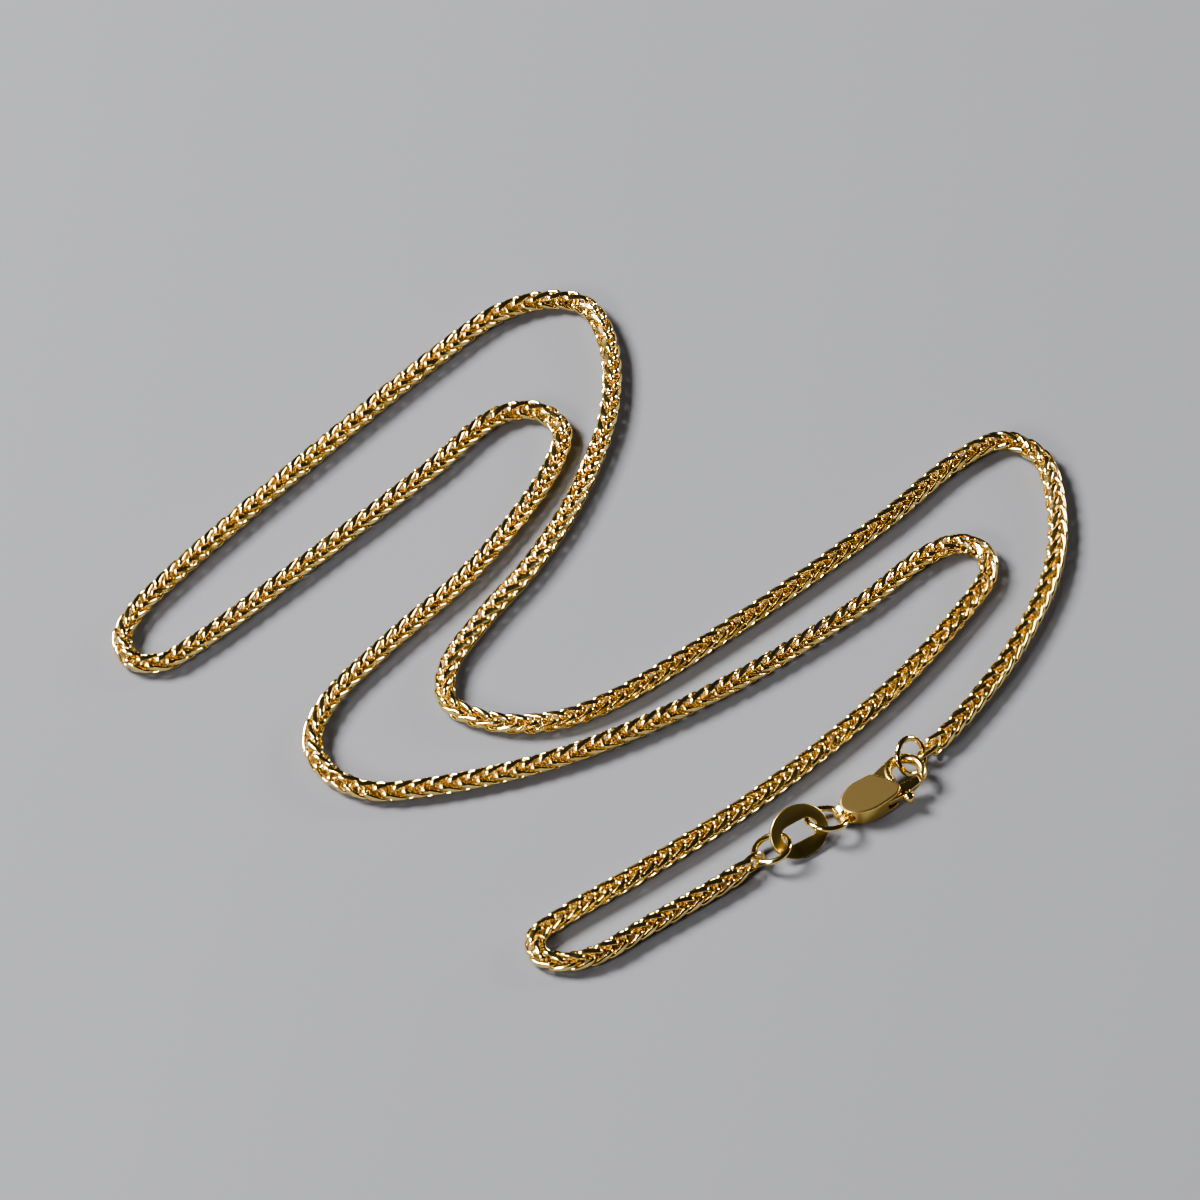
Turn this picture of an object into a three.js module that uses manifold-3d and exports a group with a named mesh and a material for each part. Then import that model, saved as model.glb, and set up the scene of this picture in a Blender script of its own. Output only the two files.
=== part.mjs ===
// A wheat chain necklace, lying closed on a flat surface as it was put down.
// Millimetres, +Z up, the surface at z = 0, the origin under the middle of the footprint.
// The links themselves are far too fine for a faceted solid, so a plain tube of the chain's
// outer width stands for them, in two lengths that meet at the far side of the necklace.
// The clasp row is built piece by piece: two rings and an oval plate on the tail of a
// lobster clasp, and a ring caught in its hook.

import * as THREE from 'three';
import { mergeVertices } from 'three/addons/utils/BufferGeometryUtils.js';
import Module from 'manifold-3d';

const wasm = await Module();
wasm.setup();

const degrees = Math.PI / 180;

// Driving dimensions of the chain
const chainWidth = 1.9;
const chainWire = 0.42;
const chainSides = 8;
const stepsInEachHalf = 40;
const bendLength = 6;
const halfGap = 0.3;

// Driving dimensions of the rings and the oval plate
const ringWire = 0.56;
const wireSides = 6;
const ringSides = 16;
const hookRingOutside = 3.8;
const tailRingOutside = 4.2;
const linkRingOutside = 3.9;
const plateLength = 5.8;
const plateWidth = 4.8;
const plateThickness = 0.4;
const plateHoleLength = 3.6;
const plateHoleWidth = 1.7;

// Driving dimensions of the lobster clasp
const bodyThickness = 1.9;
const bodyLength = 5.8;
const bodyWidth = 3.6;
const bodyTurn = -6 * degrees;
const edgeBevel = 0.2;
const tailToBodyCentre = 2.75;
const tailWidth = 1.1;
const tailHole = 1.2;
const hookOutside = 4.1;
const hookWire = 0.88;
const hookHeight = 1.1;
const hookForward = 6.95;
const hookSideways = 0.88;
const hookRoot = 200 * degrees;
const noseAngle = -58 * degrees;
const hookSteps = 20;
const roundSides = 12;
const tailSides = 16;

// The shoulder's corners, as shares of the body's length and width from its middle
const shoulderStart = [0.14, 0.45];
const shoulderBulge = [0.36, 0.55];
const shoulderFoot = [0.28, 0.05];
const shoulderEnd = 115 * degrees;

// Driving dimensions of the lever and the pocket that it turns in
const plateWall = 0.35;
const pocketMouth = -50 * degrees;
const pinDiameter = 0.5;
const pivotForward = 4.25;
const pivotSideways = -0.8;
const bossDiameter = 1.3;
const leverLength = 3.4;
const leverArmWidth = 0.8;
const knobDiameter = 1;
const knobForward = 5.85;
const knobSideways = -1.75;
const neckWidth = 0.6;
const leverOpening = 18 * degrees;

// Clearances between pieces that touch or turn on the real chain
const wireGap = 0.18;
const leverGap = 0.25;
const pinGap = 0.14;
const groundGap = 0.02;

// How the clasp row lies: where its tail is, and the way that each piece leans
const tailPlace = new THREE.Vector2(22.52, -22.22);
const claspHeading = 30 * degrees;
const claspPitch = 4.6 * degrees;
const rowHeading = 35 * degrees;
const ringRoll = -15 * degrees;
const plateRoll = 40 * degrees;
const hookRingHeading = 55 * degrees;
const hookRingLean = 54 * degrees;
const hookRingSeat = 94 * degrees;

// The chain's route, chosen by hand, from the hook ring round to the link ring
const route = [
  [31.5, -13.5], [37.8, -3.7], [41.9, 7.0], [42.5, 15.0], [40.9, 20.2], [37.7, 22.2],
  [33.9, 20.2], [26.1, 12.0], [12.6, -0.4], [1.0, -9.5], [-4.2, -11.6], [-9.3, -11.4],
  [-12.9, -9.2], [-13.0, -5.2], [-9.8, 0.8], [-5.6, 7.0], [-1.6, 15.0], [1.6, 26.0],
  [1.4, 34.5], [-0.7, 38.8], [-4.2, 39.5], [-8.6, 37.8], [-14.7, 32.1], [-26.0, 19.8],
  [-36.9, 7.3], [-41.6, 1.0], [-42.6, -1.9], [-41.4, -4.3], [-38.8, -4.5], [-35.6, -2.1],
  [-26.3, 7.0], [-14.8, 18.6], [-8.6, 25.2], [-5.0, 25.8], [-2.8, 23.6], [-3.4, 19.6],
  [-10.2, 7.5], [-18.9, -2.8], [-23.6, -9.0], [-25.1, -13.8], [-23.7, -17.4], [-20.0, -19.6],
  [-14.0, -19.1], [-2.5, -15.6], [10.8, -8.2], [23.3, 1.4], [30.8, 8.6], [33.6, 9.7],
  [35.6, 8.6], [35.9, 5.9], [33.8, 1.9], [26.6, -8.2], [15.4, -20.0], [4.0, -29.4],
  [-2.3, -34.1], [-4.9, -36.6], [-4.6, -38.8], [-2.2, -39.6], [0.8, -38.5], [4.4, -35.8],
  [12.5, -29.8],
];
const lastPointOfFirstHalf = 30;

// Sizes that follow from the ones above
const chainRadius = chainWidth / 2;
const wireRadius = ringWire / 2;
const hookRingRadius = (hookRingOutside - ringWire) / 2;
const tailRingRadius = (tailRingOutside - ringWire) / 2;
const linkRingRadius = (linkRingOutside - ringWire) / 2;
const eyeRadius = chainRadius - chainWire / 2 - groundGap;
const hookInside = hookOutside / 2 - hookWire;
const pocketHeight = bodyThickness - 2 * plateWall;
const leverThickness = pocketHeight - 2 * leverGap;

const polishedGold = { color: 0xd9a940, roughness: 0.2 };
const satinGold = { color: 0x8f7a3c, roughness: 0.4 };

// Meshes and solids

function closed(geometry) {
  geometry.deleteAttribute('normal');
  geometry.deleteAttribute('uv');
  return mergeVertices(geometry, 1e-4);
}

function solidOf(geometry) {
  const whole = closed(geometry);
  const mesh = new wasm.Mesh({
    numProp: 3,
    vertProperties: new Float32Array(whole.attributes.position.array),
    triVerts: new Uint32Array(whole.index.array),
  });
  return new wasm.Manifold(mesh);
}

function geometryOf(solid) {
  const mesh = solid.getMesh();
  const geometry = new THREE.BufferGeometry();
  geometry.setAttribute('position', new THREE.BufferAttribute(mesh.vertProperties, 3));
  geometry.setIndex(new THREE.BufferAttribute(mesh.triVerts, 1));
  geometry.computeVertexNormals();
  return geometry;
}

function piece(name, geometry, finish) {
  const material = new THREE.MeshStandardMaterial({ ...finish, metalness: 1 });
  const mesh = new THREE.Mesh(geometry, material);
  mesh.name = name;
  return mesh;
}

function wireRing(radius, wire) {
  const geometry = closed(new THREE.TorusGeometry(radius, wire / 2, wireSides, ringSides));
  geometry.computeVertexNormals();
  return geometry;
}

// A slab with its outline in the XY plane, half of its thickness above and half below
function slab(shape, thickness, bevel = 0) {
  const geometry = new THREE.ExtrudeGeometry(shape, {
    depth: thickness - 2 * bevel,
    bevelEnabled: bevel > 0,
    bevelThickness: bevel,
    bevelSize: bevel,
    bevelOffset: -bevel,
    bevelSegments: 1,
    curveSegments: roundSides,
  });
  geometry.translate(0, 0, bevel - thickness / 2);
  return geometry;
}

function upright(radius, height, sides) {
  return new THREE.CylinderGeometry(radius, radius, height, sides).rotateX(90 * degrees);
}

// Three axes at right angles: along a level heading, across it and tipped by the roll, and the normal
function axes(heading, pitch, roll) {
  const along = new THREE.Vector3(
    Math.cos(heading) * Math.cos(pitch), Math.sin(heading) * Math.cos(pitch), Math.sin(pitch));
  const level = new THREE.Vector3(-Math.sin(heading), Math.cos(heading), 0);
  const across = level.applyAxisAngle(along, roll);
  const normal = new THREE.Vector3().crossVectors(along, across);
  return { along, across, normal };
}

function place(mesh, centre, frame) {
  const turn = new THREE.Matrix4().makeBasis(frame.along, frame.across, frame.normal);
  mesh.quaternion.setFromRotationMatrix(turn);
  mesh.position.copy(centre);
  return mesh;
}

// The lobster clasp, made flat round the middle of its tail hole, nose towards +X

function ellipseShape(length, width, turn) {
  const shape = new THREE.Shape();
  shape.absellipse(0, 0, length / 2, width / 2, 0, 2 * Math.PI, false, turn);
  return shape;
}

// The hook's bar is bent round the loop, from its root beside the body to the nose
class HookCurve extends THREE.Curve {
  getPoint(t) {
    const middle = (hookOutside - hookWire) / 2;
    const angle = hookRoot + t * (noseAngle - hookRoot);
    return new THREE.Vector3(
      hookForward + middle * Math.cos(angle), hookSideways + middle * Math.sin(angle), 0);
  }
}

// A section with eight flat sides, given its width across the flats each way
function octagon(width, height) {
  const shape = new THREE.Shape();
  for (let i = 0; i < chainSides; i += 1) {
    const angle = (i + 0.5) * 2 * Math.PI / chainSides;
    const corner = Math.cos(Math.PI / chainSides);
    const x = width / 2 * Math.cos(angle) / corner;
    const y = height / 2 * Math.sin(angle) / corner;
    if (i === 0) shape.moveTo(x, y);
    else shape.lineTo(x, y);
  }
  shape.closePath();
  return shape;
}

function hookBar() {
  return new THREE.ExtrudeGeometry(octagon(hookHeight, hookWire), {
    steps: hookSteps,
    extrudePath: new HookCurve(),
  });
}

// The shoulder that runs off the body's upper edge into the outside of the hook
function shoulderShape() {
  const middle = hookInside + hookWire / 2;
  const outer = (middle + hookOutside / 2) / 2;
  const onBody = ([x, y]) => [tailToBodyCentre + x * bodyLength, y * bodyWidth];
  const onHook = (radius) => [
    hookForward + radius * Math.cos(shoulderEnd),
    hookSideways + radius * Math.sin(shoulderEnd),
  ];
  const shape = new THREE.Shape();
  shape.moveTo(...onBody(shoulderStart));
  shape.quadraticCurveTo(...onBody(shoulderBulge), ...onHook(outer));
  shape.lineTo(...onHook(middle));
  shape.lineTo(hookForward - middle, hookSideways);
  shape.lineTo(...onBody(shoulderFoot));
  return shape;
}

// The pocket that the lever turns in, open below, with its far end a circle round the pin
function pocketShape() {
  const reach = bossDiameter / 2 + leverGap;
  const swing = leverLength + leverGap;
  const open = leverOpening + 90 * degrees;
  const highest = leverOpening + Math.asin(reach / swing);
  const shape = new THREE.Shape();
  shape.absarc(pivotForward, pivotSideways, reach, open, 270 * degrees, false);
  shape.lineTo(pivotForward, -bodyWidth);
  shape.absarc(pivotForward, pivotSideways, swing, pocketMouth, highest, false);
  return shape;
}

function claspBody() {
  const plate = slab(ellipseShape(bodyLength, bodyWidth, bodyTurn), bodyThickness, edgeBevel);
  plate.translate(tailToBodyCentre, 0, 0);
  const tail = new THREE.CylinderGeometry(bodyThickness / 2, bodyThickness / 2, tailWidth, tailSides);
  const hole = new THREE.CylinderGeometry(tailHole / 2, tailHole / 2, bodyWidth, roundSides);
  const pin = upright(pinDiameter / 2, bodyThickness - edgeBevel, roundSides);
  pin.translate(pivotForward, pivotSideways, 0);
  return geometryOf(solidOf(plate)
    .add(solidOf(hookBar()))
    .add(solidOf(slab(shoulderShape(), hookHeight - 2 * edgeBevel)))
    .add(solidOf(tail))
    .subtract(solidOf(slab(pocketShape(), pocketHeight)))
    .subtract(solidOf(hole))
    .add(solidOf(pin)));
}

// The lever: a boss on the pin, a straight arm whose round tip lies inside the nose, and a thumb knob.
// It is made round its own pin, with the arm's inner edge level with the top of the boss.
function claspLever() {
  const boss = bossDiameter / 2;
  const inner = Math.asin(boss / leverLength);
  const outer = Math.asin((boss - leverArmWidth) / leverLength);
  const shape = new THREE.Shape();
  shape.absarc(0, 0, boss, 90 * degrees, 270 * degrees, false);
  shape.lineTo(knobForward - pivotForward, -boss);
  shape.absarc(0, 0, leverLength, outer, inner, false);
  const knob = upright(knobDiameter / 2, leverThickness + leverGap, roundSides);
  knob.translate(knobForward - pivotForward, knobSideways - pivotSideways, 0);
  const neck = new THREE.BoxGeometry(neckWidth, -knobSideways, leverThickness);
  neck.translate(knobForward - pivotForward, knobSideways / 2 - pivotSideways, 0);
  const bore = upright(pinDiameter / 2 + pinGap, 2 * leverThickness, roundSides);
  return geometryOf(solidOf(slab(shape, leverThickness))
    .add(solidOf(neck))
    .add(solidOf(knob))
    .subtract(solidOf(bore)));
}

const clasp = new THREE.Group();
const body = piece('clasp_body', claspBody(), satinGold);
const lever = piece('clasp_lever', claspLever(), polishedGold);
lever.position.set(pivotForward, pivotSideways, 0);
clasp.add(body, lever);
clasp.rotation.set(0, -claspPitch, claspHeading, 'ZYX');
clasp.position.set(tailPlace.x, tailPlace.y, bodyThickness / 2);
clasp.updateMatrixWorld(true);

// The ring in the hook: its lower side comes up through the loop, and it leans away over the hook

const hookFrame = axes(hookRingHeading, 0, hookRingLean);
const seatRadius = hookInside - wireRadius / Math.sin(hookRingLean) - wireGap;
const hookSeat = clasp.localToWorld(new THREE.Vector3(
  hookForward + seatRadius * Math.cos(hookRingSeat),
  hookSideways + seatRadius * Math.sin(hookRingSeat),
  0));
const hookRingCentre = hookSeat.clone().addScaledVector(hookFrame.along, hookRingRadius);
hookRingCentre.z = hookRingRadius * Math.sin(hookRingLean) + wireRadius + groundGap;
const hookRing = place(piece('hook_ring', wireRing(hookRingRadius, ringWire), polishedGold),
  hookRingCentre, hookFrame);

// The tail ring runs from the clasp's tail hole to the oval plate, and the link ring on from there

const plateHeight = plateWidth / 2 * Math.sin(plateRoll) + plateThickness / 2 * Math.cos(plateRoll)
  + groundGap;
const plateFrame = axes(rowHeading, 0, plateRoll);
const seatInPlate = plateHoleLength / 2 - wireRadius - wireGap;

const rowDirection = new THREE.Vector3(Math.cos(rowHeading), Math.sin(rowHeading), 0);
const tailPoint = clasp.position.clone();
const tailPitch = -Math.asin((plateHeight - tailPoint.z) / (2 * tailRingRadius));
const tailFrame = axes(rowHeading, tailPitch, ringRoll);
const tailRingCentre = tailPoint.clone().addScaledVector(tailFrame.along, -tailRingRadius);
const plateCentre = tailRingCentre.clone()
  .addScaledVector(tailFrame.along, -tailRingRadius)
  .addScaledVector(rowDirection, -seatInPlate);
const linkPitch = Math.asin((plateHeight - chainRadius) / (2 * linkRingRadius));
const linkFrame = axes(rowHeading, linkPitch, ringRoll);
const linkRingCentre = plateCentre.clone()
  .addScaledVector(rowDirection, -seatInPlate)
  .addScaledVector(linkFrame.along, -linkRingRadius);
const linkEyeCentre = linkRingCentre.clone().addScaledVector(linkFrame.along, -linkRingRadius);

const tailRing = place(piece('tail_ring', wireRing(tailRingRadius, ringWire), polishedGold),
  tailRingCentre, tailFrame);
const linkRing = place(piece('link_ring', wireRing(linkRingRadius, ringWire), polishedGold),
  linkRingCentre, linkFrame);

// The oval plate, a flat ring with a plain bare face

function ovalPlate() {
  const outline = ellipseShape(plateLength, plateWidth, 0);
  const end = plateHoleWidth / 2;
  const straight = plateHoleLength / 2 - end;
  const hole = new THREE.Path();
  hole.absarc(straight, 0, end, 90 * degrees, -90 * degrees, true);
  hole.absarc(-straight, 0, end, -90 * degrees, -270 * degrees, true);
  outline.holes.push(hole);
  return geometryOf(solidOf(slab(outline, plateThickness)));
}

const ovalRing = place(piece('oval_plate', ovalPlate(), satinGold), plateCentre, plateFrame);

// The chain: each half is a tube along the route, with the end link's eye fused to its clasp end

// Follows the route with its steps drawn together where the chain bends
class BendSteps extends THREE.Curve {
  constructor(curve, samples = 400) {
    super();
    this.curve = curve;
    this.samples = samples;
    this.shares = [0];
    for (let i = 1; i <= samples; i += 1) {
      const before = curve.getTangentAt((i - 1) / samples);
      const after = curve.getTangentAt(i / samples);
      const length = curve.getLength() / samples;
      this.shares.push(this.shares[i - 1] + length + bendLength * before.angleTo(after));
    }
  }

  station(share) {
    const wanted = share * this.shares[this.samples];
    let i = 1;
    while (i < this.samples && this.shares[i] < wanted) i += 1;
    const part = (wanted - this.shares[i - 1]) / (this.shares[i] - this.shares[i - 1]);
    return Math.min(1, (i - 1 + part) / this.samples);
  }

  getPointAt(share) {
    return this.curve.getPointAt(this.station(share));
  }

  getTangentAt(share) {
    return this.curve.getTangentAt(this.station(share));
  }
}

function chainTube(points) {
  const curve = new THREE.CatmullRomCurve3(points, false, 'centripetal');
  return new THREE.ExtrudeGeometry(octagon(chainWidth, chainWidth), {
    steps: stepsInEachHalf,
    extrudePath: new BendSteps(curve),
  });
}

// The end link stands off the tube's end, turned so that the ring's wire passes through it
function endEye(centre, outward, wireDirection) {
  const normal = wireDirection.clone().addScaledVector(outward, -wireDirection.dot(outward)).normalize();
  const across = new THREE.Vector3().crossVectors(normal, outward);
  const turn = new THREE.Matrix4().makeBasis(outward, across, normal).setPosition(centre);
  return wireRing(eyeRadius, chainWire).applyMatrix4(turn);
}

const points = route.map(([x, y]) => new THREE.Vector3(x, y, chainRadius));

const hookEyeAngle = Math.asin((chainRadius - hookRingCentre.z) / (hookRingRadius * Math.sin(hookRingLean)));
const hookEyeCentre = hookRingCentre.clone()
  .addScaledVector(hookFrame.along, hookRingRadius * Math.cos(hookEyeAngle))
  .addScaledVector(hookFrame.across, hookRingRadius * Math.sin(hookEyeAngle));
const hookWireDirection = hookFrame.along.clone().multiplyScalar(-Math.sin(hookEyeAngle))
  .addScaledVector(hookFrame.across, Math.cos(hookEyeAngle));
const hookOutward = hookEyeCentre.clone().sub(points[0]).normalize();
const hookEnd = hookEyeCentre.clone().addScaledVector(hookOutward, -eyeRadius);

const linkOutward = linkEyeCentre.clone().sub(points[points.length - 1]).normalize();
const linkEnd = linkEyeCentre.clone().addScaledVector(linkOutward, -eyeRadius);

const meeting = points[lastPointOfFirstHalf];
const meetingDirection = points[lastPointOfFirstHalf + 1].clone()
  .sub(points[lastPointOfFirstHalf - 1]).normalize();
const firstPoints = [hookEnd, ...points.slice(0, lastPointOfFirstHalf),
  meeting.clone().addScaledVector(meetingDirection, -halfGap / 2)];
const secondPoints = [meeting.clone().addScaledVector(meetingDirection, halfGap / 2),
  ...points.slice(lastPointOfFirstHalf + 1), linkEnd];

const firstHalf = piece('chain_first_half',
  geometryOf(solidOf(chainTube(firstPoints))
    .add(solidOf(endEye(hookEyeCentre, hookOutward, hookWireDirection)))),
  polishedGold);
const secondHalf = piece('chain_second_half',
  geometryOf(solidOf(chainTube(secondPoints))
    .add(solidOf(endEye(linkEyeCentre, linkOutward, linkFrame.across)))),
  polishedGold);

const necklace = new THREE.Group();
necklace.add(firstHalf, secondHalf, hookRing, clasp, tailRing, ovalRing, linkRing);

export default necklace;
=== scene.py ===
import math

import bmesh
import bpy
import numpy as np
from mathutils import Matrix, Vector


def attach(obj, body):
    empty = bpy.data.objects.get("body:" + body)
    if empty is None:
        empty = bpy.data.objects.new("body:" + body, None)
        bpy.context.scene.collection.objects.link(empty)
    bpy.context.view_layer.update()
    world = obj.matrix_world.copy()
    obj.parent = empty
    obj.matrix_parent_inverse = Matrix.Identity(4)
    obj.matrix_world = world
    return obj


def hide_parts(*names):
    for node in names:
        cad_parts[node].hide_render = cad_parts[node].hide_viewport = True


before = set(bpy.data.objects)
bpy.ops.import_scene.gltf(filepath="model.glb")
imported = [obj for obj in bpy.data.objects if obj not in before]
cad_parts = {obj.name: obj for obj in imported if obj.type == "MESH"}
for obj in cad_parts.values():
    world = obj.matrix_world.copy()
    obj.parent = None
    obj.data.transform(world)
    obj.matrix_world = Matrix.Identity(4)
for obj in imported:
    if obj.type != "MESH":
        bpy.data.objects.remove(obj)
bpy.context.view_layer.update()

mm = 0.001

# The camera
# A long lens looks down at the laid necklace from its front edge, at 49 degrees above the
# table, so that the whole necklace fills the middle of a square picture.

camera_height_angle = math.radians(49.2)
camera_distance = 1375.3 * mm
camera_target = Vector((0.75, 2.94, 0.95)) * mm
camera = bpy.data.objects.new("camera", bpy.data.cameras.new("camera"))
camera.data.sensor_width = 36
camera.data.lens = 455.4
camera.data.clip_end = 10
camera.location = camera_target + camera_distance * Vector(
    (0, -math.cos(camera_height_angle), math.sin(camera_height_angle)))
camera.rotation_euler = (math.pi / 2 - camera_height_angle, 0, 0)
bpy.context.scene.collection.objects.link(camera)
bpy.context.scene.camera = camera

# The woven chain
# Wheat chain of 18 ct yellow gold: oval links of gold wire, each twisted by a sixth of a turn,
# left and right by turns, and passed through the two links before it. The finished chain is
# diamond-cut: its four crests are shaved flat by a polished cutter.

chain_width = 1.9 * mm
uncut_width = 2.04 * mm
chain_wire = 0.43 * mm
nominal_pitch = 1.69 * mm
links_through = 2
link_twist = math.radians(60)
# A power below 1 fills the oval out, so that the link's sides run nearly straight
link_fullness = 0.5
# The weave presses the wire a little wider than it is thick
wire_flattening = 1.25
# The four crests, and how far from the chain's middle the cutter runs
crest_angles = (math.pi / 4, 3 * math.pi / 4, 5 * math.pi / 4, 7 * math.pi / 4)
cut_height = 0.93 * mm
# Each link has settled a little off true about the chain
sway_seed = 18
sway_angle = math.radians(3)
chain_end_gap = 0.03 * mm
end_link_half = 1.37 * mm
end_link_slack = 0.02 * mm
# Points round a link, round its wire, and between two laid points
link_steps = 30
wire_sides = 9
samples_between = 60

# The way that the chain was laid, from the hook ring round to the link ring: where it runs,
# in mm, and how far it has rolled over there, in degrees
laid_chain = [
    (30.3374, -14.7376, 25), (31.5, -13.5, 25), (37.8, -3.7, 25), (41.9, 7, 25), (42.23, 15, 25),
    (40.9, 20.2, 35), (37.7, 22.2, 50), (33.9, 20.2, 66), (26.1, 12, 66), (12.6, -0.4, 66),
    (1, -9.5, 66), (-4.2, -11.6, 66), (-9.3, -11.4, 66), (-12.9, -9.2, 66), (-13, -5.2, 70),
    (-9.8, 0.8, 80), (-5.6, 7, 85), (-1.6, 15, 90), (1.6, 26, 100), (1.4, 34.5, 110),
    (-0.7, 38.8, 120), (-4.2, 39.45, 130), (-8.6, 37.8, 151), (-14.7, 32.1, 162), (-26, 19.8, 163),
    (-36.9, 7.3, 163), (-41.6, 1, 158), (-42.43, -1.9, 145), (-41.4, -4.3, 130), (-38.8, -4.5, 125),
    (-35.6, -2.1, 121), (-26.3, 7, 121), (-14.8, 18.6, 121), (-8.6, 25.2, 130), (-5, 25.8, 140),
    (-2.8, 23.6, 150), (-3.4, 19.6, 155), (-10.2, 7.5, 155), (-18.9, -2.8, 155), (-23.6, -9, 145),
    (-25.1, -13.8, 140), (-23.7, -17.4, 130), (-20, -19.6, 127), (-14, -19.1, 127),
    (-2.5, -15.6, 127), (10.8, -8.2, 127), (23.3, 1.4, 127), (30.8, 8.6, 110), (33.6, 9.7, 95),
    (35.6, 8.6, 80), (35.9, 5.9, 78), (33.8, 1.9, 78), (26.6, -8.2, 79), (15.4, -20, 79),
    (4, -29.4, 79), (-2.3, -34.1, 67), (-4.9, -36.6, 58), (-4.6, -38.8, 50), (-2.2, -39.5, 45),
    (0.8, -38.5, 40), (4.4, -35.8, 36), (12.5, -29.8, 36), (14.225, -28.1592, 36),
]
# The place in this list, just past the far left bend, where the chain's two halves meet
halves_meet_at = 31


def smooth_route(laid):
    """Points evenly close together on one smooth curve through the laid points."""
    points = np.vstack([2 * laid[0] - laid[1], laid, 2 * laid[-1] - laid[-2]])
    gaps = np.sqrt(np.linalg.norm(np.diff(points, axis=0), axis=1))
    curve = []
    t = np.linspace(0, 1, samples_between, endpoint=False)[:, None]
    for i in range(1, len(points) - 2):
        p0, p1, p2, p3 = points[i - 1:i + 3]
        d0, d1, d2 = gaps[i - 1:i + 2]
        m1 = ((p1 - p0) / d0 - (p2 - p0) / (d0 + d1) + (p2 - p1) / d1) * d1
        m2 = ((p2 - p1) / d1 - (p3 - p1) / (d1 + d2) + (p3 - p2) / d2) * d1
        a = 2 * p1 - 2 * p2 + m1 + m2
        b = -3 * p1 + 3 * p2 - 2 * m1 - m2
        curve.append(a * t ** 3 + b * t ** 2 + m1 * t + p1)
    return np.vstack(curve + [laid[-1:]])


def wire_loop(centreline, radius, sides, flattening=1):
    """Rings of points round a closed centreline, as an array of steps, sides and xyz."""
    tangent = np.roll(centreline, -1, axis=0) - np.roll(centreline, 1, axis=0)
    tangent /= np.linalg.norm(tangent, axis=1)[:, None]
    outward = centreline - centreline.mean(axis=0)
    outward -= (outward * tangent).sum(axis=1)[:, None] * tangent
    outward /= np.linalg.norm(outward, axis=1)[:, None]
    side = np.cross(tangent, outward) * flattening
    angle = np.arange(sides) * 2 * math.pi / sides
    around = (np.cos(angle)[None, :, None] * outward[:, None]
              + np.sin(angle)[None, :, None] * side[:, None])
    return centreline[:, None] + radius * around


def loop_faces(steps, sides):
    """The faces of one closed loop of wire, as rows of four point numbers."""
    i = np.arange(steps)[:, None]
    j = np.arange(sides)[None, :]
    next_i = (i + 1) % steps
    next_j = (j + 1) % sides
    corners = [i * sides + j, next_i * sides + j, next_i * sides + next_j, i * sides + next_j]
    return np.stack(corners, axis=-1).reshape(-1, 4)


def mesh_piece(name, points, faces, body, material, flat=None):
    """A new object from points in metres, which rides on a body; flat says which faces are cut."""
    mesh = bpy.data.meshes.new(name)
    mesh.from_pydata(points.tolist(), [], [list(face) for face in faces])
    mesh.polygons.foreach_set("use_smooth", [True] * len(faces) if flat is None else ~flat)
    mesh.materials.append(material)
    mesh.update()
    piece = bpy.data.objects.new(name, mesh)
    bpy.context.scene.collection.objects.link(piece)
    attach(piece, body)
    return piece


def linear(colour):
    """A hex colour as the linear numbers that the shader takes."""
    parts = [int(colour[i:i + 2], 16) / 255 for i in (0, 2, 4)]
    return [c / 12.92 if c <= 0.04045 else ((c + 0.055) / 1.055) ** 2.4 for c in parts] + [1.0]


def add_node(material, kind, links=(), **settings):
    """Adds one shader node, with its settings by name, and links from other nodes' outputs."""
    node = material.node_tree.nodes.new(kind)
    for name, value in settings.items():
        if hasattr(node, name):
            setattr(node, name, value)
        else:
            node.inputs[name.replace("_", " ")].default_value = value
    for output, name in links:
        material.node_tree.links.new(output, node.inputs[name])
    return node


def new_gold(name, colour, roughness):
    """An 18 ct gold finish, with its shader, to which each finish adds its own marks."""
    material = bpy.data.materials.new(name)
    material.use_nodes = True
    shader = material.node_tree.nodes["Principled BSDF"]
    shader.inputs["Base Color"].default_value = linear(colour)
    shader.inputs["Metallic"].default_value = 1
    shader.inputs["Roughness"].default_value = roughness
    place = add_node(material, "ShaderNodeTexCoord").outputs["Object"]
    return material, shader, place


# Diamond-cut 18 ct yellow gold: tumbled wire with mirror-bright flats. Its shine is a little
# uneven from link to link, which gives the eye the glitter of the real weave.
shine_patch = 1.2 * mm
chain_gold, shader, place = new_gold("diamond-cut 18 ct yellow gold", "F6D98C", 0.16)
tumbled = add_node(chain_gold, "ShaderNodeTexNoise", [(place, "Vector")],
                   Scale=1 / shine_patch, Detail=2)
shine = add_node(chain_gold, "ShaderNodeMapRange", [(tumbled.outputs["Fac"], "Value")],
                 To_Min=0.07, To_Max=0.2)
chain_gold.node_tree.links.new(shine.outputs["Result"], shader.inputs["Roughness"])

chain_radius = chain_width / 2
line = smooth_route(np.array([(x * mm, y * mm, chain_radius) for x, y, roll in laid_chain]))
steps_along = np.linalg.norm(np.diff(line, axis=0), axis=1)
length_at = np.concatenate([[0], np.cumsum(steps_along)])
chain_length = length_at[-1]
heading = np.gradient(line, axis=0)
heading /= np.linalg.norm(heading, axis=1)[:, None]
roll_lengths = length_at[::samples_between]
roll_angles = [roll for x, y, roll in laid_chain]


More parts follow.
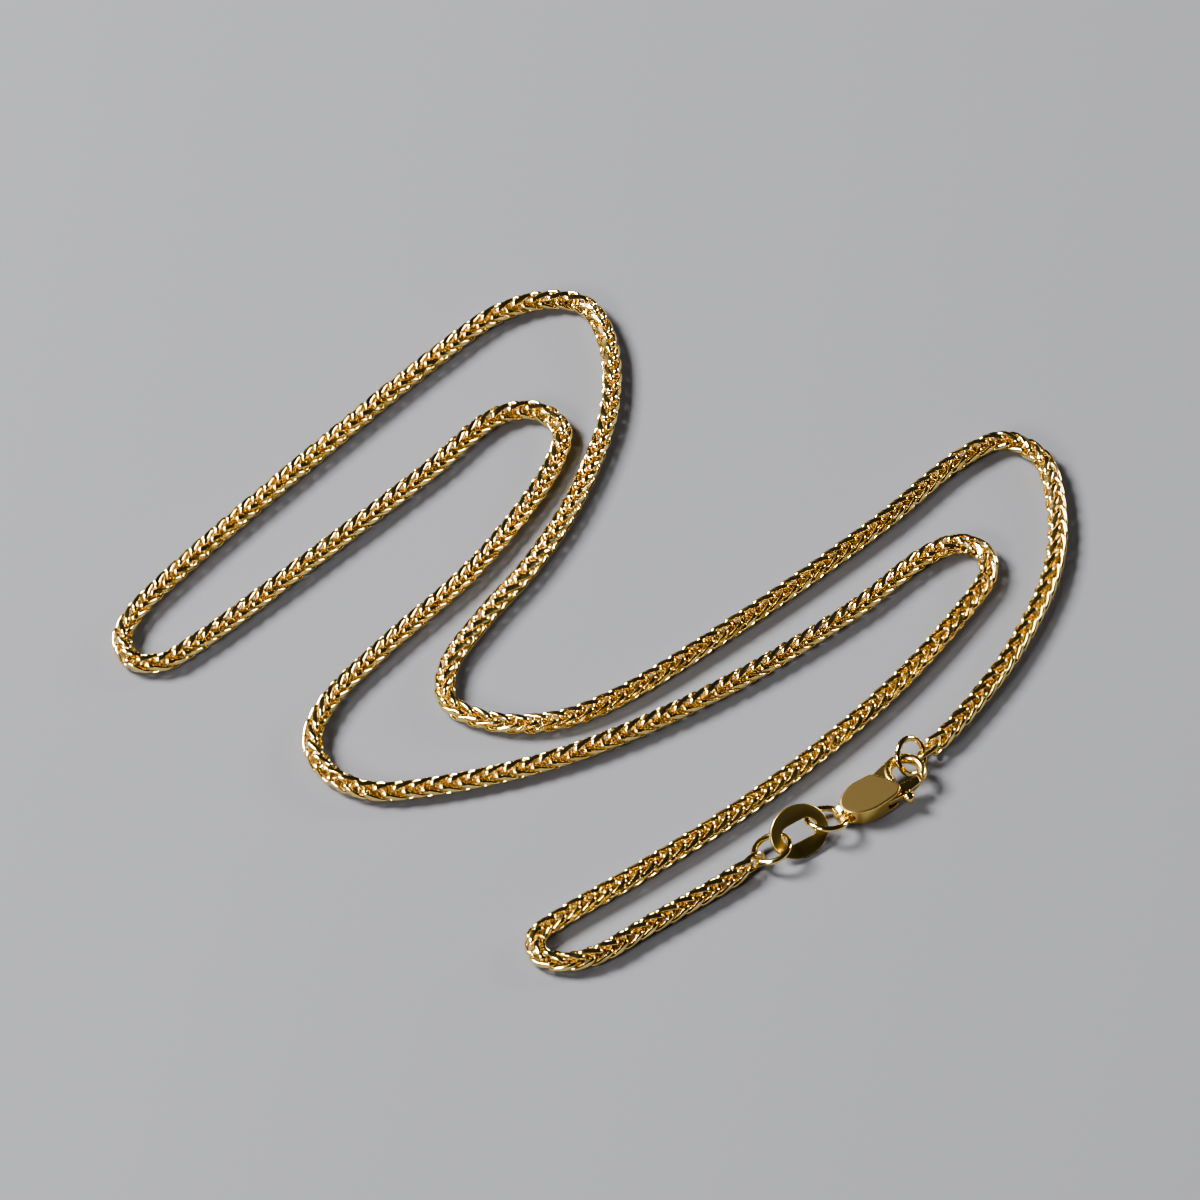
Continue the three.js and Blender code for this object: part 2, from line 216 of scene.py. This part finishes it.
def on_chain(points):
    """Bends points from a straight chain, given along, across and up, onto the laid one."""
    along = points[..., 0]
    centre = np.stack([np.interp(along, length_at, line[:, i]) for i in range(3)], axis=-1)
    ahead = np.stack([np.interp(along, length_at, heading[:, i]) for i in range(3)], axis=-1)
    ahead /= np.linalg.norm(ahead, axis=-1)[..., None]
    left = np.stack([-ahead[..., 1], ahead[..., 0], np.zeros_like(along)], axis=-1)
    roll = np.radians(np.interp(along, roll_lengths, roll_angles))
    across = points[..., 1] * np.cos(roll) - points[..., 2] * np.sin(roll)
    up = points[..., 1] * np.sin(roll) + points[..., 2] * np.cos(roll)
    bent = centre + left * across[..., None]
    bent[..., 2] += up
    return bent


def twisted_link(half_length, turn):
    """One oval link lying along x, twisted about x, and which of its points the cutter met."""
    t = (np.arange(link_steps) + 0.5) * 2 * math.pi / link_steps
    x = half_length * np.sign(np.cos(t)) * abs(np.cos(t)) ** link_fullness
    reach = (uncut_width - chain_wire) / 2 * np.sign(np.sin(t)) * abs(np.sin(t)) ** link_fullness
    angle = crest_angles[0] + turn / 2 * x / half_length
    centreline = np.stack([x, reach * np.cos(angle), reach * np.sin(angle)], axis=1)
    tube = wire_loop(centreline, chain_wire / 2, wire_sides, wire_flattening)
    cut = np.zeros(tube.shape[:2], dtype=bool)
    for crest in crest_angles:
        outward = np.array([0, math.cos(crest), math.sin(crest)])
        over = tube @ outward - cut_height
        cut |= over > 0
        tube -= np.clip(over, 0, None)[..., None] * outward
    # What still stands out beside the flats is tumbled down to the finished width
    radius = np.linalg.norm(tube[..., 1:], axis=-1)
    tube[..., 1:] *= np.minimum(1, chain_radius / radius)[..., None]
    return tube.reshape(-1, 3), cut.reshape(-1)


# A link is as long as the half pitches that it spans and half of one more
half_pitches_long = links_through + 0.5
first_centre = chain_end_gap + nominal_pitch / 2 * half_pitches_long / 2
link_spaces = round((chain_length - 2 * first_centre) / (nominal_pitch / 2))
half_pitch = (chain_length - 2 * first_centre) / link_spaces
right_link, right_cut = twisted_link(half_pitch * half_pitches_long / 2, link_twist)
left_link = right_link * (1, 1, -1)
link_sway = np.random.default_rng(sway_seed).normal(0, sway_angle, link_spaces + 1)
one_link = loop_faces(link_steps, wire_sides)
all_cut = right_cut[one_link].all(axis=1)


def chain_half(name, first, last, end_loop):
    """The links from first to last as one mesh, with the chain's plain end link."""
    points = [end_loop]
    faces = [loop_faces(link_steps, wire_sides)]
    flat = [np.zeros(len(faces[0]), dtype=bool)]
    count = len(end_loop)
    for number in range(first, last):
        right = number % 2 == 0
        c = math.cos(link_sway[number])
        s = math.sin(link_sway[number])
        sway = np.array([(1, 0, 0), (0, c, s), (0, -s, c)])
        link = (right_link if right else left_link) @ sway
        points.append(on_chain(link + (first_centre + number * half_pitch, 0, 0)))
        faces.append((one_link if right else one_link[:, ::-1]) + count)
        flat.append(all_cut)
        count += len(link)
    return mesh_piece(name, np.vstack(points), np.vstack(faces), "necklace", chain_gold,
                      np.concatenate(flat))


def end_link(centre, outward, wire_way):
    """The plain oval link at a chain's end, whose outer bend holds a jump ring."""
    centre, outward, wire_way = (Vector(v) for v in (centre, outward, wire_way))
    centre *= mm
    normal = (wire_way - wire_way.dot(outward) * outward).normalized()
    across = normal.cross(outward)
    t = np.arange(link_steps) * 2 * math.pi / link_steps
    reach = chain_radius - chain_wire / 2 - end_link_slack
    ahead = reach - end_link_half + end_link_half * np.cos(t)
    loop = (np.array(centre) + ahead[:, None] * np.array(outward)
            + (reach * np.sin(t))[:, None] * np.array(across))
    return wire_loop(loop, chain_wire / 2, wire_sides).reshape(-1, 3)


meeting_length = length_at[halves_meet_at * samples_between]
links_in_first = round((meeting_length - first_centre) / half_pitch)
first_half = chain_half("woven_chain_first_half", 0, links_in_first, end_link(
    (29.8444, -15.2623, 0.95), (-0.6847, -0.7288, 0), (-0.1267, 0.7041, 0.6987)))
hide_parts("chain_first_half")
second_half = chain_half("woven_chain_second_half", links_in_first, link_spaces + 1, end_link(
    (14.7466, -27.663, 0.95), (0.7246, 0.6892, 0), (-0.5054, 0.8253, -0.2519)))
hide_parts("chain_second_half")

# The jump rings
# Round rings of 0.56 mm gold wire, closed and polished. One is caught in the clasp's hook,
# and the other two join the clasp's tail, the oval plate and the chain's last link.

ring_wire = 0.56 * mm
ring_steps = 96
ring_sides = 20

# Polished gold wire: almost a mirror, with the faint marks of the pliers that closed it.
plier_mark = 0.7 * mm
ring_gold, shader, place = new_gold("polished 18 ct gold wire", "F6D98C", 0.12)
gripped = add_node(ring_gold, "ShaderNodeTexNoise", [(place, "Vector")],
                   Scale=1 / plier_mark, Detail=3)
marks = add_node(ring_gold, "ShaderNodeBump", [(gripped.outputs["Fac"], "Height")],
                 Strength=0.08, Distance=0.05 * mm)
ring_gold.node_tree.links.new(marks.outputs["Normal"], shader.inputs["Normal"])


def lying(centre, heading, pitch, roll):
    """Where a flat piece lies: its middle in mm, its level heading, its slope and its roll."""
    heading, pitch, roll = (math.radians(a) for a in (heading, pitch, roll))
    along = Vector((math.cos(heading) * math.cos(pitch), math.sin(heading) * math.cos(pitch),
                    math.sin(pitch)))
    level = Vector((-math.sin(heading), math.cos(heading), 0))
    across = Matrix.Rotation(roll, 3, along) @ level
    normal = along.cross(across)
    turn = Matrix((along, across, normal)).transposed().to_4x4()
    return Matrix.Translation(Vector(centre) * mm) @ turn


def put(points, place):
    """Moves an array of points from a piece's own place to where it lies."""
    return points @ np.array(place.to_3x3()).T + np.array(place.translation)


def jump_ring(name, node, outside, place):
    """One closed ring of its outside width in mm, in its place."""
    t = np.arange(ring_steps) * 2 * math.pi / ring_steps
    radius = (outside * mm - ring_wire) / 2
    circle = radius * np.stack([np.cos(t), np.sin(t), np.zeros(ring_steps)], axis=1)
    tube = wire_loop(circle, ring_wire / 2, ring_sides).reshape(-1, 3)
    ring = mesh_piece(name, put(tube, place), loop_faces(ring_steps, ring_sides), "necklace",
                      ring_gold)
    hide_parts(node)


jump_ring("hook_jump_ring", "hook_ring", 3.8, lying((28.6487, -16.1332, 1.6106), 55, 0, 54))
jump_ring("tail_jump_ring", "tail_ring", 4.2, lying((21.0625, -23.2405, 1.3329), 35, -12.15, -15))
jump_ring("link_jump_ring", "link_ring", 3.9, lying((16.0782, -26.7306, 1.3329), 35, 13.26, -15))

# The oval plate
# A flat oval ring stamped from gold sheet, with a slot with round ends in it. Its faces are
# left bare, and its edges are rounded over by polishing, so they shine brighter than the faces.

plate_length = 5.8 * mm
plate_width = 4.8 * mm
plate_thickness = 0.4 * mm
plate_edge = 0.1 * mm
slot_length = 3.6 * mm
slot_width = 1.7 * mm
plate_steps = 128
plate_heading = 35

# Flat-polished gold sheet: a soft shine with the marks left along the plate by the wheel,
# which are drawn as coarse as they need to show.
wheel_mark = 1.5 * mm
wheel_stretch = 12
sheet_gold, shader, place = new_gold("flat-polished 18 ct gold sheet", "B0975A", 0.3)
turned = add_node(sheet_gold, "ShaderNodeMapping", [(place, "Vector")],
                  Rotation=(0, 0, -math.radians(plate_heading)), Scale=(1, wheel_stretch, wheel_stretch))
wheeled = add_node(sheet_gold, "ShaderNodeTexNoise", [(turned.outputs["Vector"], "Vector")],
                   Scale=1 / wheel_mark, Detail=3)
marks = add_node(sheet_gold, "ShaderNodeBump", [(wheeled.outputs["Fac"], "Height")],
                 Strength=0.12, Distance=0.02 * mm)
sheet_gold.node_tree.links.new(marks.outputs["Normal"], shader.inputs["Normal"])


def outer_oval(edge):
    """The plate's outer oval, drawn in by edge."""
    t = np.arange(plate_steps) * 2 * math.pi / plate_steps
    return np.stack([(plate_length / 2 - edge) * np.cos(t), (plate_width / 2 - edge) * np.sin(t)], axis=1)


def slot_oval(edge):
    """The plate's slot let out by edge: a circle whose two ends are drawn straight apart."""
    t = np.arange(plate_steps) * 2 * math.pi / plate_steps
    end = slot_width / 2 + edge
    apart = (slot_length - slot_width) / 2 * np.clip(4 * np.cos(t), -1, 1)
    return np.stack([end * np.cos(t) + apart, end * np.sin(t)], axis=1)


half = plate_thickness / 2
bend = [math.radians(a) for a in (0, 30, 60, 90)]
upper = [(plate_edge * (1 - math.cos(a)), half - plate_edge * (1 - math.sin(a))) for a in bend]
lower = [(edge, -z) for edge, z in upper]
rows = [np.c_[outer_oval(edge), np.full(plate_steps, z)] for edge, z in lower[::-1] + upper]
rows += [np.c_[slot_oval(edge), np.full(plate_steps, z)] for edge, z in upper[::-1] + lower]
plate_points = np.stack(rows, axis=1).reshape(-1, 3)
plate_place = lying((18.5074, -25.0297, 1.7159), plate_heading, 0, 40)
plate = mesh_piece("bare_oval_plate", put(plate_points, plate_place),
                   loop_faces(plate_steps, len(rows)), "necklace", sheet_gold)
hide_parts("oval_plate")

# The lobster clasp's body
# One investment casting in 18 ct gold: a flat oval body, a round hook that rises from its
# shoulder, and a pierced tail. A pocket for the lever is cut in it from below, with a pin across.

clasp_heading = math.radians(30)
clasp_slope = math.radians(4.6)
clasp_place = (Matrix.Translation(Vector((22.52, -22.22, 0.95)) * mm)
               @ Matrix.Rotation(clasp_heading, 4, "Z") @ Matrix.Rotation(-clasp_slope, 4, "Y"))

# The clasp's own sizes, here and in its lever, are in mm from the middle of the tail's hole
pad_outline = [
    (-0.15, 0.1), (0.35, 1.0), (1.6, 1.72), (2.9, 1.86), (3.95, 1.8), (4.7, 1.05), (5.35, 0.0),
    (5.55, -0.75), (5.0, -1.35), (3.9, -1.6), (2.3, -1.75), (0.9, -1.4), (0.05, -0.75),
]
pad_half = 0.95
pad_edge = 0.16
shoulder_outline = [
    (3.0, 1.75), (4.2, 1.98), (5.0, 2.25), (5.9, 2.55), (6.3, 2.35), (5.75, 1.9), (5.45, 1.2),
    (5.3, 0.4), (4.6, -0.2), (3.6, 0.6),
]
shoulder_half = 0.56
shoulder_edge = 0.24
tail_radius = 0.93
tail_half = 0.6
tail_edge = 0.3
tail_hole_radius = 0.6
hook_centre = (6.95, 0.88)
hook_radius = 1.61
hook_steps = 60
# The hook's width and height at each angle round it, from the shoulder to the nose
hook_sizes_at = [
    (205, 1.15, 1.25), (150, 1.05, 1.2), (110, 0.9, 1.1), (40, 0.86, 1.05), (-30, 0.84, 1.0),
    (-58, 0.8, 0.95),
]
pin_place = (4.25, -0.8)
pin_radius = 0.25
pin_half = 0.85
pocket_reach = 0.9
pocket_swing = 3.65
pocket_half = 0.6
body_grain = 0.05
body_tumbling = 4


def closed_curve(points, samples_each):
    """A smooth closed outline through the given points."""
    points = np.array(points, dtype=float)
    count = len(points)
    outline = []
    for i in range(count):
        p0, p1, p2, p3 = (points[(i + k) % count] for k in (-1, 0, 1, 2))
        for t in np.arange(samples_each) / samples_each:
            outline.append(0.5 * (2 * p1 + (p2 - p0) * t + (2 * p0 - 5 * p1 + 4 * p2 - p3) * t ** 2
                                  + (3 * p1 - p0 - 3 * p2 + p3) * t ** 3))
    return np.array(outline)


def inset(outline, distance):
    """The outline drawn in by a distance along its own normals."""
    way = np.roll(outline, -1, axis=0) - np.roll(outline, 1, axis=0)
    way /= np.linalg.norm(way, axis=1)[:, None]
    return outline + distance * np.c_[-way[:, 1], way[:, 0]]


def tube_faces(rows, sides):
    """The faces of an open tube of rows of points, with its two ends closed."""
    faces = [list(range(sides))[::-1], [sides * (rows - 1) + i for i in range(sides)]]
    for row in range(rows - 1):
        for i in range(sides):
            j = (i + 1) % sides
            faces.append([row * sides + i, row * sides + j, (row + 1) * sides + j, (row + 1) * sides + i])
    return faces


def slab(outline, low, high, edge, bends=4):
    """A solid with a flat outline, from a low to a high z, with its two edges rounded over."""
    turns = [math.radians(90 * i / bends) for i in range(bends + 1)] if edge else [0]
    curve = [(edge * (1 - math.sin(a)), edge * (1 - math.cos(a))) for a in turns]
    levels = [(e, low + z) for e, z in curve] + [(e, high - z) for e, z in reversed(curve)]
    points = [np.c_[inset(outline, e), np.full(len(outline), z)] for e, z in levels]
    return np.vstack(points), tube_faces(len(levels), len(outline))


def bar(middle, ahead, sizes, sides=28):
    """A round bar along a flat path, with a width and a height at each point."""
    angles = np.arange(sides) * 2 * math.pi / sides
    rings = []
    for point, way, (width, height) in zip(middle, ahead, sizes):
        across = np.array([-way[1], way[0], 0.0])
        rings.append(np.array([*point, 0.0]) + np.outer(width / 2 * np.cos(angles), across)
                     + np.outer(height / 2 * np.sin(angles), (0, 0, 1)))
    return np.vstack(rings), tube_faces(len(rings), sides)


def arc(centre, radius, start, stop, steps):
    """Points on a circle, from a start to a stop angle in degrees."""
    angles = np.radians(np.linspace(start, stop, steps))
    return np.c_[centre[0] + radius * np.cos(angles), centre[1] + radius * np.sin(angles)]


def round_bar(middle, radius, low, high, axis, edge=0, sides=40):
    """A round bar along y or z, from a low to a high end, with its ends rounded over."""
    circle = arc((0, 0), radius, 0, 360 * (1 - 1 / sides), sides)
    points, faces = slab(circle, low, high, edge)
    if axis == "y":
        points = points[:, [0, 2, 1]] * (1, 1, -1)
    return points + (*middle, 0), faces


def rough_part(name, points, faces):
    """An unfinished part, in millimetres at the clasp's own place, for joining and cutting."""
    mesh = bpy.data.meshes.new(name)
    mesh.from_pydata(points.tolist(), [], faces)
    mesh.update()
    part = bpy.data.objects.new(name, mesh)
    bpy.context.scene.collection.objects.link(part)
    return part


def cast(name, solids, cuts, kept, grain, tumbling, body, material):
    """Cuts each solid, fuses them with what is kept, and smooths the whole as one casting."""
    for part in solids:
        for tool in cuts:
            cut = part.modifiers.new("cut", "BOOLEAN")
            cut.operation = "DIFFERENCE"
            cut.object = tool
            cut.solver = "EXACT"
    graph = bpy.context.evaluated_depsgraph_get()
    joined = bmesh.new()
    for part in solids + kept:
        joined.from_mesh(bpy.data.meshes.new_from_object(part.evaluated_get(graph)))
    mesh = bpy.data.meshes.new(name)
    joined.to_mesh(mesh)
    casting = bpy.data.objects.new(name, mesh)
    bpy.context.scene.collection.objects.link(casting)
    fused = casting.modifiers.new("fused", "REMESH")
    fused.mode = "VOXEL"
    fused.voxel_size = grain
    fused.use_smooth_shade = True
    tumble = casting.modifiers.new("tumbled", "SMOOTH")
    tumble.factor = 0.5
    tumble.iterations = tumbling
    graph = bpy.context.evaluated_depsgraph_get()
    casting.data = bpy.data.meshes.new_from_object(casting.evaluated_get(graph))
    casting.modifiers.clear()
    for part in solids + cuts + kept:
        bpy.data.objects.remove(part)
    casting.data.transform(clasp_place @ Matrix.Scale(mm, 4))
    casting.data.materials.clear()
    casting.data.materials.append(material)
    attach(casting, body)
    return casting


# Cast gold, polished all over, and then rubbed on its two flat faces with a fine abrasive stick: they are
# satin, inside a bright polished rim, and their colour is made darker and browner, which is painted shade.
# The grain runs along the clasp, and is drawn as coarse as it needs to show.
stick_mark = 1.8 * mm
stick_stretch = 14
rim_height = 0.88 * mm
flat_height = 0.925 * mm
cast_gold, shader, place = new_gold("satin and polished cast 18 ct gold", "F0CD7A", 0.3)
turned = add_node(cast_gold, "ShaderNodeMapping", [(place, "Vector")],
                  Rotation=(0, 0, -clasp_heading), Scale=(1, stick_stretch, stick_stretch))
rubbed = add_node(cast_gold, "ShaderNodeTexNoise", [(turned.outputs["Vector"], "Vector")],
                  Scale=1 / stick_mark, Detail=4)
from_middle = add_node(cast_gold, "ShaderNodeVectorMath", [(place, "Vector")], operation="SUBTRACT")
from_middle.inputs[1].default_value = clasp_place.translation
height = add_node(cast_gold, "ShaderNodeVectorMath", [(from_middle.outputs["Vector"], "Vector")],
                  operation="DOT_PRODUCT")
height.inputs[1].default_value = clasp_place.to_3x3().col[2]
either_face = add_node(cast_gold, "ShaderNodeMath", operation="ABSOLUTE")
cast_gold.node_tree.links.new(height.outputs["Value"], either_face.inputs[0])
on_flat = add_node(cast_gold, "ShaderNodeMapRange", [(either_face.outputs["Value"], "Value")],
                   From_Min=rim_height, From_Max=flat_height, To_Min=0, To_Max=1)
satin = add_node(cast_gold, "ShaderNodeMapRange", [(on_flat.outputs["Result"], "Value")],
                 To_Min=0.2, To_Max=0.38)
cast_gold.node_tree.links.new(satin.outputs["Result"], shader.inputs["Roughness"])
# A colour mix takes the polished colour and the flat faces' painted shade in sockets 6 and 7 and gives
# output 2
rim_to_painted_shade = add_node(cast_gold, "ShaderNodeMix", [(on_flat.outputs["Result"], "Factor")],
                       data_type="RGBA")
rim_to_painted_shade.inputs[6].default_value = linear("F0CD7A")
rim_to_painted_shade.inputs[7].default_value = linear("7A6740")
cast_gold.node_tree.links.new(rim_to_painted_shade.outputs[2], shader.inputs["Base Color"])
grain = add_node(cast_gold, "ShaderNodeBump",
                 [(rubbed.outputs["Fac"], "Height"), (on_flat.outputs["Result"], "Strength")],
                 Distance=0.004 * mm)
cast_gold.node_tree.links.new(grain.outputs["Normal"], shader.inputs["Normal"])

hook_angles, hook_widths, hook_heights = np.array(hook_sizes_at[::-1]).T
turns = np.linspace(hook_angles[-1], hook_angles[0], hook_steps)
hook_path = arc(hook_centre, hook_radius, turns[0], turns[-1], hook_steps)
hook_ahead = np.c_[np.sin(np.radians(turns)), -np.cos(np.radians(turns))]
hook_sizes = np.c_[np.interp(turns, hook_angles, hook_widths), np.interp(turns, hook_angles, hook_heights)]
pocket_outline = np.vstack([arc(pin_place, pocket_reach, 108, 270, 20), [(4.25, -3.6)],
                            arc(pin_place, pocket_swing, -50, 32.3, 30)])
pad_curve = closed_curve(pad_outline, 8)[::-1]
shoulder_curve = closed_curve(shoulder_outline, 6)[::-1]
solids = [
    rough_part("body", *slab(pad_curve, -pad_half, pad_half, pad_edge)),
    rough_part("hook", *bar(hook_path, hook_ahead, hook_sizes)),
    rough_part("shoulder", *slab(shoulder_curve, -shoulder_half, shoulder_half, shoulder_edge)),
    rough_part("tail", *round_bar((0, 0), tail_radius, -tail_half, tail_half, "y", tail_edge)),
]
cuts = [
    rough_part("pocket", *slab(pocket_outline, -pocket_half, pocket_half, 0)),
    rough_part("hole", *round_bar((0, 0), tail_hole_radius, -2, 2, "y")),
]
kept = [rough_part("pin", *round_bar(pin_place, pin_radius, -pin_half, pin_half, "z"))]
clasp_body = cast("lobster_clasp_body", solids, cuts, kept, body_grain, body_tumbling, "necklace",
                  cast_gold)
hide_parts("clasp_body")

# The clasp's lever
# A small cast lever that turns on the body's pin and is pushed shut by a spring in the pocket.
# Its tip closes the hook, and a round knob below it takes the thumbnail.

boss_radius = 0.65
bore_radius = 0.39
tip_reach = 3.4
lever_half = 0.35
lever_edge = 0.15
knob_middle = (5.85, -1.75)
knob_radius = 0.5
knob_half = 0.475
knob_edge = 0.32
lever_grain = 0.035
lever_tumbling = 12
lever_outline = np.vstack([
    arc(pin_place, boss_radius, 90, 270, 24), [(5.6, -1.45), (7.1, -1.1), (7.4, -1.0), (7.57, -0.88)],
    arc(pin_place, tip_reach, 0.8, 9.5, 8), [(7.5, -0.15)]])
neck_outline = np.array([(5.5, -1.9), (6.2, -1.9), (6.15, -0.6), (5.55, -0.6)])
knob_outline = arc(knob_middle, knob_radius, 0, 350, 36)
lever_parts = [
    rough_part("arm", *slab(lever_outline, -lever_half, lever_half, lever_edge)),
    rough_part("neck", *slab(neck_outline, -lever_half, lever_half, lever_edge)),
    rough_part("knob", *slab(knob_outline, -knob_half, knob_half, knob_edge)),
]
bore = [rough_part("bore", *round_bar(pin_place, bore_radius, -1, 1, "z"))]
clasp_lever = cast("lobster_clasp_lever", lever_parts, bore, [], lever_grain, lever_tumbling, "lever",
                   ring_gold)
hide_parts("clasp_lever")

# The studio
# A plain grey floor, a strong soft light from the left that gives the weave its glitter, two
# weaker ones from the front left and from behind on the right, and a dim pale room.

# Matt grey card, which the strong light brings up to pale grey
floor_half = 1.5
card = bpy.data.materials.new("matt grey card")
card.use_nodes = True
card_shader = card.node_tree.nodes["Principled BSDF"]
card_shader.inputs["Base Color"].default_value = linear("515154")
card_shader.inputs["Roughness"].default_value = 0.9
floor_mesh = bpy.data.meshes.new("floor")
floor_mesh.from_pydata([(-floor_half, -floor_half, 0), (floor_half, -floor_half, 0),
                        (floor_half, floor_half, 0), (-floor_half, floor_half, 0)], [], [(0, 1, 2, 3)])
floor_mesh.materials.append(card)
floor = bpy.data.objects.new("floor", floor_mesh)
bpy.context.scene.collection.objects.link(floor)


def softbox(name, place, size, power):
    """A square soft light that faces the necklace."""
    light = bpy.data.lights.new(name, "AREA")
    light.size = size
    light.energy = power
    lamp = bpy.data.objects.new(name, light)
    lamp.location = Vector(place)
    lamp.rotation_euler = (-lamp.location).to_track_quat("-Z", "Y").to_euler()
    bpy.context.scene.collection.objects.link(lamp)


softbox("key light", (-0.75, 0.25, 0.75), 0.4, 70)
softbox("side light", (-0.6, -0.75, 0.6), 0.28, 16)
softbox("rim light", (0.9, 0.5, 0.4), 0.26, 10)
world = bpy.data.worlds.new("dim pale room")
world.use_nodes = True
room = world.node_tree.nodes["Background"]
room.inputs["Color"].default_value = linear("9EA3AA")
room.inputs["Strength"].default_value = 0.06
bpy.context.scene.world = world
# A photo of polished gold has deep darks beside bright lights, so the contrast is raised
bpy.context.scene.view_settings.look = "AgX - Medium High Contrast"
